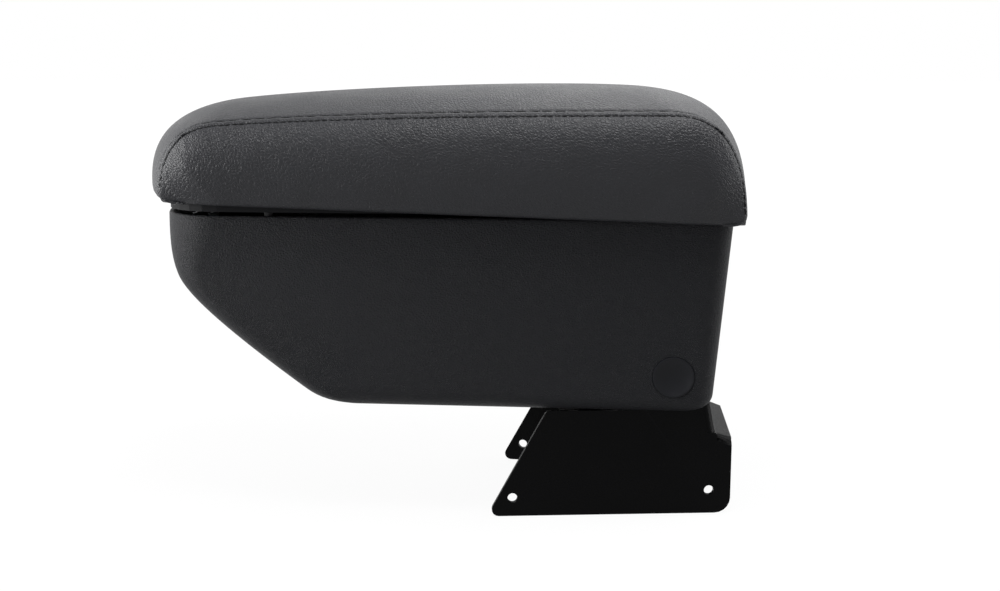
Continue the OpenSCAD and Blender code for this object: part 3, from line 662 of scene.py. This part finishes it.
class ARMREST_OT_stitching(bpy.types.Operator):
    """Sews the topstitch along both seams and the tighter stitches down in the seams, which are thick, black
    and nearly closed so that they also paint the shade of the seam's groove
    """

    bl_idname = "armrest.stitching"
    bl_label = "Stitching"

    def execute(self, context):
        pad = context.scene.armrest_pad
        shape = PadShape(pad)
        thread = plain("thread", context.scene.armrest_finish.thread, 0.7, 6.0, 0.05, 0.1)
        # Name, distance from the seam, pitch, share of the pitch that is thread, radius and lift, mm
        rows = (
            ("topstitch_", pad.stitch_inset, pad.stitch_pitch, 0.74, 0.40, -0.38),
            # The seam row is both stitches and painted shade: thick black beads that nearly touch draw the
            # dark line of shade in the seam's groove
            ("seam_stitch_", 0.15, pad.seam_pitch, 0.92, 0.52, -0.42),
        )
        for sign, side in SIDES:
            for name, inset, *measures in rows:
                row = self.row(name + side, shape, sign * (pad.seam_half - inset), *measures)
                dress(row, thread, "lid")
        return {"FINISHED"}

    def row(self, name, shape, y, pitch, filled, radius, lift):
        """One row of stitches, each a copy of one rounded bead, at the constant y of its seam."""
        deselect()
        bpy.ops.mesh.primitive_uv_sphere_add(segments=8, ring_count=6, radius=1)
        bead = bpy.context.active_object
        base = read_points(bead)
        faces = [tuple(p.vertices) for p in bead.data.polygons]
        bpy.data.objects.remove(bead)
        count = int(shape.length / pitch)
        first, last = (shape.pad.nose_roll + 1) / shape.length, (shape.pad.tail_roll + 1) / shape.length
        u = first + (np.arange(count) + 0.5) / count * (1 - first - last)
        half = 0.5 * filled / count
        start = shape.strip(u - half, np.full(count, y), np.full(count, lift))
        end = shape.strip(u + half, np.full(count, y), np.full(count, lift))
        points, polygons = [], []
        for k in range(count):
            along = end[k] - start[k]
            long = np.linalg.norm(along)
            turn = np.array(Vector(along).to_track_quat("Z", "Y").to_matrix())
            bead_points = base * [radius, radius, long / 2] @ turn.T + (start[k] + end[k]) / 2
            offset = len(base) * k
            points.append(bead_points * MM)
            polygons += [tuple(i + offset for i in f) for f in faces]
        mesh = bpy.data.meshes.new(name)
        mesh.from_pydata(np.concatenate(points).tolist(), [], polygons)
        piece = bpy.data.objects.new(name, mesh)
        bpy.context.collection.objects.link(piece)
        smooth(piece, 80)
        return piece


class BoxShape:
    """The moulded box: plan outlines that change with height, for its outer and inner faces."""

    # How far the floor lies under the solid's, mm
    SINK = 0.28
    # Plan radii of the front and its corners, at the rim and at the kink, and of the rear corners, mm
    NOSE, CORNER, BACK = (107, 167), (32, 15), 9
    # How far under the rim the walls' straight faces end, mm
    LIP = 1.0

    def __init__(self, box):
        self.box = box
        self.floor = BOX_LOW[2] - self.SINK
        self.rim = self.floor + box.height
        self.front = STRIP_LOW[0] + box.front_set
        self.rear = STRIP_HIGH[0] - box.rear_set
        self.kink_z = self.rim - box.front_wall
        angle = math.radians(box.slant)
        self.bend_z = self.floor + box.bend * (1 - math.cos(angle))
        self.slope = 1 / math.tan(angle) - 2 * box.bow * (self.kink_z - self.bend_z)
        self.bend_x = self.slant_x(self.bend_z) + box.bend * math.sin(angle)

    def slant_x(self, z):
        d = self.kink_z - z
        kinked = self.slope * (d + math.hypot(d, self.box.kink)) / 2
        return self.front + kinked + self.box.bow * max(d, 0) ** 2

    def front_x(self, z):
        if z >= self.bend_z:
            return self.slant_x(z)
        return self.bend_x - math.sqrt(max(0, self.box.bend**2 - (self.floor + self.box.bend - z) ** 2))

    def rear_x(self, z):
        return self.rear - (self.rim - z) * math.tan(math.radians(self.box.rear_lean))

    def ring(self, z, base, edge, skin, lip=0.0):
        """Plan outline at height z of the outer face (skin 0) or of the face skin mm further in."""
        box = self.box
        low = min(1, (self.rim - z) / (self.rim - self.kink_z))
        inset = 0 if z >= base + edge else edge - math.sqrt(max(0, edge**2 - (base + edge - z) ** 2))
        front = self.front_x(z if not skin else max(z - box.floor, self.floor)) + lip
        if skin:
            front += skin + 0.5 * low
        rear = self.rear_x(z) - skin - inset - lip
        half = box.half_width - skin - box.draft * (self.rim - z) - inset - lip
        nose = self.NOSE[0] + (self.NOSE[1] - self.NOSE[0]) * low
        corner = self.CORNER[0] + (self.CORNER[1] - self.CORNER[0]) * low - skin
        back = self.BACK - skin
        turn = math.asin((half - corner) / (nose - corner))
        centre = front + nose - (nose - corner) * math.cos(turn)
        parts = []
        for a in np.linspace(0, turn, 14, endpoint=False):
            parts.append((front + nose - nose * math.cos(a), nose * math.sin(a)))
        for a in np.linspace(turn, math.pi / 2, 14, endpoint=False):
            parts.append((centre - corner * math.cos(a), half - corner + corner * math.sin(a)))
        for x in np.linspace(centre, rear - back, 44, endpoint=False):
            parts.append((x, half))
        for a in np.linspace(0, math.pi / 2, 9, endpoint=False):
            parts.append((rear - back + back * math.sin(a), half - back + back * math.cos(a)))
        for y in np.linspace(half - back, 0, 14, endpoint=False):
            parts.append((rear, y))
        right = np.array(parts)
        left = np.vstack([[(rear, 0)], right[:0:-1] * [1, -1]])
        ring = np.vstack([right, left])
        ring[:, 1] *= 1 - box.taper * (rear - ring[:, 0]) / (rear - front)
        return np.column_stack([ring, np.full(len(ring), z)])

    def heights(self, base, edge):
        side = np.linspace(self.rim - self.LIP, base + edge, 34)
        fillet = base + edge * (1 - np.cos(np.linspace(math.pi / 2, 0, 10)[1:]))
        return [*side, *fillet]

    def rings(self):
        box = self.box
        inner_base, inner_edge = self.floor + box.floor, box.edge - box.wall
        outer = [self.ring(z, self.floor, box.edge, 0) for z in self.heights(self.floor, box.edge)]
        inner = [self.ring(z, inner_base, inner_edge, box.wall) for z in self.heights(inner_base, inner_edge)]
        lips = []
        for skin, inwards, steps in ((0, 0.8, (0.7, 0.4, 0.1)), (box.wall, -0.8, (0.1, 0.4, 0.7))):
            for k in steps:
                ring = self.ring(self.rim - self.LIP, self.floor, box.edge, skin, inwards * (1 - k))
                ring[:, 2] = self.rim - self.LIP + self.LIP * (1 - 0.9 * k * k)
                lips.append(ring)
        return np.array(outer[::-1] + lips + inner)


def cutter(kind, place, spread):
    """A block or a round bar along Y, given its centre and full sizes in mm."""
    deselect()
    if kind == "block":
        bpy.ops.mesh.primitive_cube_add(size=1)
    else:
        bpy.ops.mesh.primitive_cylinder_add(vertices=96, radius=0.5, depth=1, rotation=(math.pi / 2, 0, 0))
    piece = bpy.context.active_object
    piece.location = Vector(place) * MM
    bpy.ops.object.transform_apply(location=False, rotation=True, scale=False)
    piece.scale = Vector(spread) * MM
    bpy.ops.object.transform_apply(location=True, rotation=True, scale=True)
    return piece


def between(kind, low, high):
    low, high = np.array(low, float), np.array(high, float)
    return cutter(kind, (low + high) / 2, high - low)


def bar(x, z, radius, y0, y1):
    """A round bar along Y between two heights of Y."""
    return between("bar", (x - radius, min(y0, y1), z - radius), (x + radius, max(y0, y1), z + radius))


def combine(piece, operation, tools):
    """Joins loose tools and unites them with the piece or cuts them from it."""
    deselect()
    for tool in tools:
        tool.select_set(True)
    bpy.context.view_layer.objects.active = tools[0]
    bpy.ops.object.join()
    tool = bpy.context.active_object
    change = piece.modifiers.new(operation, "BOOLEAN")
    change.operation = operation
    change.solver = "EXACT"
    change.object = tool
    apply_all(piece)
    bpy.data.objects.remove(tool)


class ARMREST_OT_box(bpy.types.Operator):
    """Models the grained storage box with its rim, hinge knuckles, pivot bosses and pivot bay"""

    bl_idname = "armrest.box"
    bl_label = "Storage box"

    # Hinge lugs: place from the middle, half width, depth and drop below the rim, mm
    LUG_AT, LUG_HALF, LUG_DEPTH, LUG_DROP = 16, 7, 3.2, 9
    # Catch block ahead of the clip: length, half width and height, mm
    BLOCK_LONG, BLOCK_HALF, BLOCK_HIGH = 7.5, 9, 12
    # Bay for the bracket's neck: reach ahead of the pivot and above it, and room left at each side, mm
    BAY_AHEAD, BAY_ABOVE, BAY_SIDE = 20.5, 23.5, 14
    # Radii of the bores for the bushes, the bolt heads and the hinge pin, mm
    BUSH_BORE, HEAD_BORE, PIN_BORE = 6.02, 7.8, 1.56
    # Depths of the boss's, the cap's and the bolt head's seats under the wall's outer face, mm
    BOSS_DEPTH, CAP_DEPTH, HEAD_DEPTH = 1.3, 2.4, 5.8
    # Room for the lid's knuckles: gap round them, place from the middle and half width, mm
    SEAT_GAP, SEAT_AT, SEAT_HALF = 0.6, 30.3, 7.3
    # Past the box's side, so that a bore goes right through, mm
    THROUGH = 90

    def execute(self, context):
        box = context.scene.armrest_box
        shape = BoxShape(box)
        rings = shape.rings()
        rows, columns = rings.shape[:2]
        piece = grid("box_shell", columns, rows - 1)
        flat = read_points(piece)
        across = np.rint((flat[:, 0] + 1) / 2 * columns).astype(int) % columns
        up = np.rint((flat[:, 1] + 1) / 2 * (rows - 1)).astype(int)
        write_points(piece, rings[up, across])
        with editing(piece):
            bpy.ops.mesh.remove_doubles(threshold=1e-6)
            bpy.ops.mesh.select_all(action="DESELECT")
            bpy.ops.mesh.select_non_manifold()
            bpy.ops.mesh.fill_holes(sides=0)
        face_outwards(piece)
        self.fit_out(piece, box, shape)
        smooth(piece, 28)
        grained = moulded("box grain", context.scene.armrest_finish.plastic, 0.46)
        dress(piece, grained, "box", ["storage_box"])
        return {"FINISHED"}

    def fit_out(self, piece, box, shape):
        """Adds the knuckles, bosses and catch block, then cuts the bay and the bores."""
        wall_y = box.half_width - box.draft * (shape.rim - PIVOT_Z)
        bay_half = box.half_width - self.BAY_SIDE
        top = PIN_Z + box.knuckle
        for y in (-self.LUG_AT, self.LUG_AT):
            near, far = y - self.LUG_HALF, y + self.LUG_HALF
            combine(piece, "UNION", [bar(PIN_X, PIN_Z, box.knuckle, near, far)])
            for low, high in (
                ((shape.rear - self.LUG_DEPTH, near, shape.rim - self.LUG_DROP), (shape.rear, far, top)),
                ((shape.rear - 1, near, PIN_Z), (PIN_X, far, top)),
            ):
                combine(piece, "UNION", [between("block", low, high)])
        bosses = self.pair(box.boss, bay_half + 0.3, wall_y - self.BOSS_DEPTH)
        catch_x, catch_z = CATCH_LOW[0], CATCH_LOW[2]
        block_low = (catch_x - self.BLOCK_LONG, -self.BLOCK_HALF, catch_z)
        block = between("block", block_low, (catch_x, self.BLOCK_HALF, catch_z + self.BLOCK_HIGH))
        combine(piece, "UNION", bosses + [block])
        bay_low = (PIVOT_X - self.BAY_AHEAD, -bay_half, shape.floor - 5)
        bay = between("block", bay_low, (shape.rear + 40, bay_half, PIVOT_Z + self.BAY_ABOVE))
        caps = self.pair(box.boss + 0.1, wall_y - self.CAP_DEPTH, self.THROUGH)
        combine(piece, "DIFFERENCE", [bay] + caps)
        combine(piece, "DIFFERENCE", self.pair(self.HEAD_BORE, wall_y - self.HEAD_DEPTH, self.THROUGH))
        bushes = bar(PIVOT_X, PIVOT_Z, self.BUSH_BORE, -self.THROUGH, self.THROUGH)
        pin = bar(PIN_X, PIN_Z, self.PIN_BORE, -self.THROUGH, self.THROUGH)
        combine(piece, "DIFFERENCE", [bushes, pin])
        seats = []
        for middle in (-self.SEAT_AT, self.SEAT_AT):
            near, far = middle - self.SEAT_HALF, middle + self.SEAT_HALF
            seats.append(bar(PIN_X, PIN_Z, box.knuckle + self.SEAT_GAP, near, far))
        combine(piece, "DIFFERENCE", seats)

    @staticmethod
    def pair(radius, near, far):
        """A round bar on the pivot's axis at either side of the box, from near to far of its middle."""
        return [bar(PIVOT_X, PIVOT_Z, radius, s * near, s * far) for s in (-1, 1)]


class ARMREST_OT_caps(bpy.types.Operator):
    """Turns the two dished caps that close the pivots"""

    bl_idname = "armrest.caps"
    bl_label = "Pivot caps"

    def execute(self, context):
        box = context.scene.armrest_box
        tone = tint(context.scene.armrest_finish.plastic, 1.1)
        smooth_plastic = moulded("cap plastic", tone, 0.40, 2.0, 0.02)
        radius = (CAP_HIGH[0] - CAP_LOW[0]) / 2
        back = CAP_LOW[1]
        face = box.half_width - box.draft * (BOX_LOW[2] + box.height - PIVOT_Z) + 0.15
        t = np.linspace(0, 1, 33)
        dish = face - box.cap_dish * (1 - t**2)
        profile = [(0.0, back), (radius - 0.3, back), (radius, back + 0.3), (radius, face - 0.5)]
        profile += [(radius - 0.15, face - 0.15), (radius - 0.5, face)]
        profile += [(r * (radius - 0.9), y) for r, y in zip(t[::-1], dish[::-1])]
        profile = np.array(profile)
        for sign, name in SIDES:
            piece = grid("cap_" + name, 96, len(profile) - 1)
            flat = read_points(piece)
            turn = (flat[:, 0] + 1) * math.pi
            step = np.rint((flat[:, 1] + 1) / 2 * (len(profile) - 1)).astype(int)
            far, high = profile[step, 0], profile[step, 1]
            points = [PIVOT_X + far * np.cos(turn), sign * high, PIVOT_Z + far * np.sin(turn)]
            write_points(piece, np.stack(points, 1))
            with editing(piece):
                bpy.ops.mesh.remove_doubles(threshold=1e-6)
            face_outwards(piece)
            smooth(piece, 35)
            dress(piece, smooth_plastic, "box", ["pivot_cap_" + name])
        return {"FINISHED"}


class ARMREST_OT_bracket(bpy.types.Operator):
    """Dresses the folded bracket in pebbled powder coat with softened edges"""

    bl_idname = "armrest.bracket"
    bl_label = "Bracket"

    def execute(self, context):
        folded = context.scene.armrest_bracket
        piece = rounded_copy("bracket", "bracket_coated", folded.edge, folded.segments)
        coat = powder_coat("powder coat", context.scene.armrest_finish.coat)
        dress(piece, coat, "bracket", ["bracket"])
        return {"FINISHED"}


class ARMREST_OT_fittings(bpy.types.Operator):
    """Gives every remaining CAD piece its own finish"""

    bl_idname = "armrest.fittings"
    bl_label = "Fittings"

    def execute(self, context):
        finish = context.scene.armrest_finish
        inner = plain("inner plastic", tint(finish.plastic, 0.5), 0.65, 1.4, 0.08, 0.12)
        rubber = plain("rubber", finish.rubber, 0.8, shine=0.12)
        zinc = metal("zinc plate", (0.42, 0.43, 0.45), 0.36)
        spring = metal("spring steel", (0.36, 0.37, 0.39), 0.30)
        dark_steel = metal("black plated steel", (0.05, 0.05, 0.05), 0.42)
        finishes = {
            inner: ["mechanism_cover", "lid_panel"],
            rubber: ["rest_buffers", "lid_bumpers", "box_mat"],
            zinc: ["pivot_nuts", "pivot_bolt_left", "pivot_bolt_right", "hinge_pin"],
            spring: ["friction_washers", "catch_clip"],
            dark_steel: ["cover_screws", "catch_screw", "lid_screws"],
            plain("nylon", (0.62, 0.60, 0.54), 0.5): ["pivot_bush_left", "pivot_bush_right"],
            plain("fibre board", (0.22, 0.14, 0.08), 0.8, 0.6, 0.3): ["pad_board"],
        }
        for material, names in finishes.items():
            for name in names:
                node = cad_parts[name]
                node.data.materials.clear()
                node.data.materials.append(material)
        return {"FINISHED"}


class ARMREST_OT_stage(bpy.types.Operator):
    """Sets the floor, the backdrop, the soft lamps and the camera"""

    bl_idname = "armrest.stage"
    bl_label = "Studio"

    # Name, place, point aimed at and size, m, and power, W
    LAMPS = (
        ("over the seam", (0.15, -0.15, 0.75), (0.05, -0.03, 0.2), (0.5, 0.2), 4.8),
        ("over the front", (0.0, -0.45, 1.05), (0.0, 0.0, 0.15), (0.9, 0.4), 1.2),
        ("behind right", (0.20, 0.8, 0.8), (0.05, 0.0, 0.18), (0.7, 0.4), 1.9),
        ("over the tail", (0.5, 0.35, 0.85), (0.05, 0.0, 0.15), (0.45, 0.45), 0.6),
        ("behind left", (-0.6, 0.5, 0.6), (-0.1, 0.0, 0.18), (0.5, 0.5), 0.4),
        ("left", (-0.8, 0.0, 0.35), (-0.1, 0.0, 0.13), (0.4, 0.6), 4.8),
        ("low left", (-0.6, -0.2, 0.2), (-0.1, 0.0, 0.12), (0.3, 0.12), 2.2),
        ("front left", (-0.55, -0.4, 0.35), (-0.1, 0.0, 0.14), (0.3, 0.4), 0.5),
        ("right", (0.85, 0.1, 0.4), (0.12, 0.0, 0.15), (0.4, 0.6), 4.0),
    )
    # Strength of the floor's white glow, a little over white
    GLOW = 1.06

    def execute(self, context):
        stage = context.scene.armrest_stage
        self.camera(context, stage)
        self.floor(stage)
        self.world(context, stage)
        for lamp in self.LAMPS:
            self.lamp(*lamp)
        context.scene.view_settings.view_transform = "Standard"
        return {"FINISHED"}

    @staticmethod
    def camera(context, stage):
        data = bpy.data.cameras.new("camera")
        data.sensor_width = 36
        data.lens = stage.lens
        data.clip_start = 0.01
        camera = bpy.data.objects.new("camera", data)
        camera.location = (stage.camera_x * MM, stage.camera_y * MM, stage.camera_z * MM)
        camera.rotation_euler = (math.radians(90 - stage.pitch), 0, math.radians(stage.yaw))
        context.collection.objects.link(camera)
        context.scene.camera = camera

    @staticmethod
    def lamp(name, place, target, spread, power):
        data = bpy.data.lights.new(name, "AREA")
        data.shape = "RECTANGLE"
        data.size, data.size_y = spread
        data.energy = power
        lamp = bpy.data.objects.new(name, data)
        lamp.location = place
        lamp.rotation_euler = (Vector(target) - Vector(place)).to_track_quat("-Z", "Y").to_euler()
        bpy.context.collection.objects.link(lamp)

    def floor(self, stage):
        """A pale floor that keeps a faint shadow near the armrest and is plain white further off."""
        deselect()
        bpy.ops.mesh.primitive_plane_add(size=30)
        floor = bpy.context.active_object
        floor.name = "floor"
        s = Shader("pale floor")
        s.set(base_color=(stage.floor_tone,) * 3 + (1,), roughness=0.9)
        coords = s.node("ShaderNodeTexCoord")
        away = s.node("ShaderNodeVectorMath", operation="LENGTH")
        s.link(coords.outputs["Object"], away.inputs[0])
        share = s.node("ShaderNodeMapRange")
        s.link(away.outputs["Value"], share.inputs["Value"])
        for socket, value in (("From Min", 0.3), ("From Max", 1.5), ("To Min", 0.88), ("To Max", 1.0)):
            share.inputs[socket].default_value = value
        self.show_bright(s, share.outputs["Result"])
        floor.data.materials.append(s.material)

    @staticmethod
    def seen_white(node, link):
        """One for the rays that see the studio white: the camera's and those of mirrors and glass."""
        rays = node("ShaderNodeLightPath")
        mirrored = node("ShaderNodeMath", operation="MAXIMUM")
        link(rays.outputs["Is Glossy Ray"], mirrored.inputs[0])
        link(rays.outputs["Is Transmission Ray"], mirrored.inputs[1])
        seen = node("ShaderNodeMath", operation="MAXIMUM")
        link(rays.outputs["Is Camera Ray"], seen.inputs[0])
        link(mirrored.outputs[0], seen.inputs[1])
        return seen.outputs[0]

    def show_bright(self, s, share):
        """Mixes a white glow into what the camera and mirrors see, and keeps the shadow."""
        glow = s.node("ShaderNodeEmission")
        glow.inputs["Color"].default_value = (1, 1, 1, 1)
        glow.inputs["Strength"].default_value = self.GLOW
        part = s.node("ShaderNodeMath", operation="MULTIPLY")
        s.link(share, part.inputs[0])
        s.link(self.seen_white(s.node, s.link), part.inputs[1])
        mix = s.node("ShaderNodeMixShader")
        s.link(part.outputs[0], mix.inputs[0])
        s.link(s.surface.outputs["BSDF"], mix.inputs[1])
        s.link(glow.outputs[0], mix.inputs[2])
        output = s.tree.nodes["Material Output"]
        s.link(mix.outputs[0], output.inputs["Surface"])

    def world(self, context, stage):
        world = bpy.data.worlds.new("studio")
        context.scene.world = world
        world.use_nodes = True
        tree = world.node_tree

        def node(kind, operation=None):
            made = tree.nodes.new(kind)
            if operation:
                made.operation = operation
            return made

        plain_light = tree.nodes["Background"]
        plain_light.inputs["Color"].default_value = (0.9, 0.95, 1.0, 1)
        plain_light.inputs["Strength"].default_value = stage.ambient
        white = node("ShaderNodeBackground")
        white.inputs["Color"].default_value = (1, 1, 1, 1)
        mix = node("ShaderNodeMixShader")
        tree.links.new(self.seen_white(node, tree.links.new), mix.inputs[0])
        tree.links.new(plain_light.outputs[0], mix.inputs[1])
        tree.links.new(white.outputs[0], mix.inputs[2])
        tree.links.new(mix.outputs[0], tree.nodes["World Output"].inputs["Surface"])


SETTINGS = {
    "armrest_pad": PadSettings,
    "armrest_box": BoxSettings,
    "armrest_bracket": BracketSettings,
    "armrest_finish": FinishSettings,
    "armrest_stage": StageSettings,
}
OPERATORS = (
    ARMREST_OT_top_strip,
    ARMREST_OT_side_panels,
    ARMREST_OT_foam,
    ARMREST_OT_stitching,
    ARMREST_OT_box,
    ARMREST_OT_caps,
    ARMREST_OT_bracket,
    ARMREST_OT_fittings,
    ARMREST_OT_stage,
)


class ARMREST_PT_panel(bpy.types.Panel):
    """Lists the armrest's pieces"""

    bl_idname = "ARMREST_PT_panel"
    bl_label = "Armrest"
    bl_space_type = "VIEW_3D"
    bl_region_type = "UI"
    bl_category = "Armrest"

    def draw(self, context):
        layout = self.layout
        for settings in SETTINGS:
            group = getattr(context.scene, settings)
            for key in group.__annotations__:
                layout.prop(group, key)
        for operator in OPERATORS:
            layout.operator(operator.bl_idname)


CLASSES = (*SETTINGS.values(), *OPERATORS, ARMREST_PT_panel)


def register():
    for item in CLASSES:
        bpy.utils.register_class(item)
    for name, group in SETTINGS.items():
        setattr(bpy.types.Scene, name, PointerProperty(type=group))


def unregister():
    for name in SETTINGS:
        delattr(bpy.types.Scene, name)
    for item in reversed(CLASSES):
        bpy.utils.unregister_class(item)


def main():
    register()
    for operator in OPERATORS:
        group, name = operator.bl_idname.split(".")
        getattr(getattr(bpy.ops, group), name)()


if __name__ == "__main__":
    main()
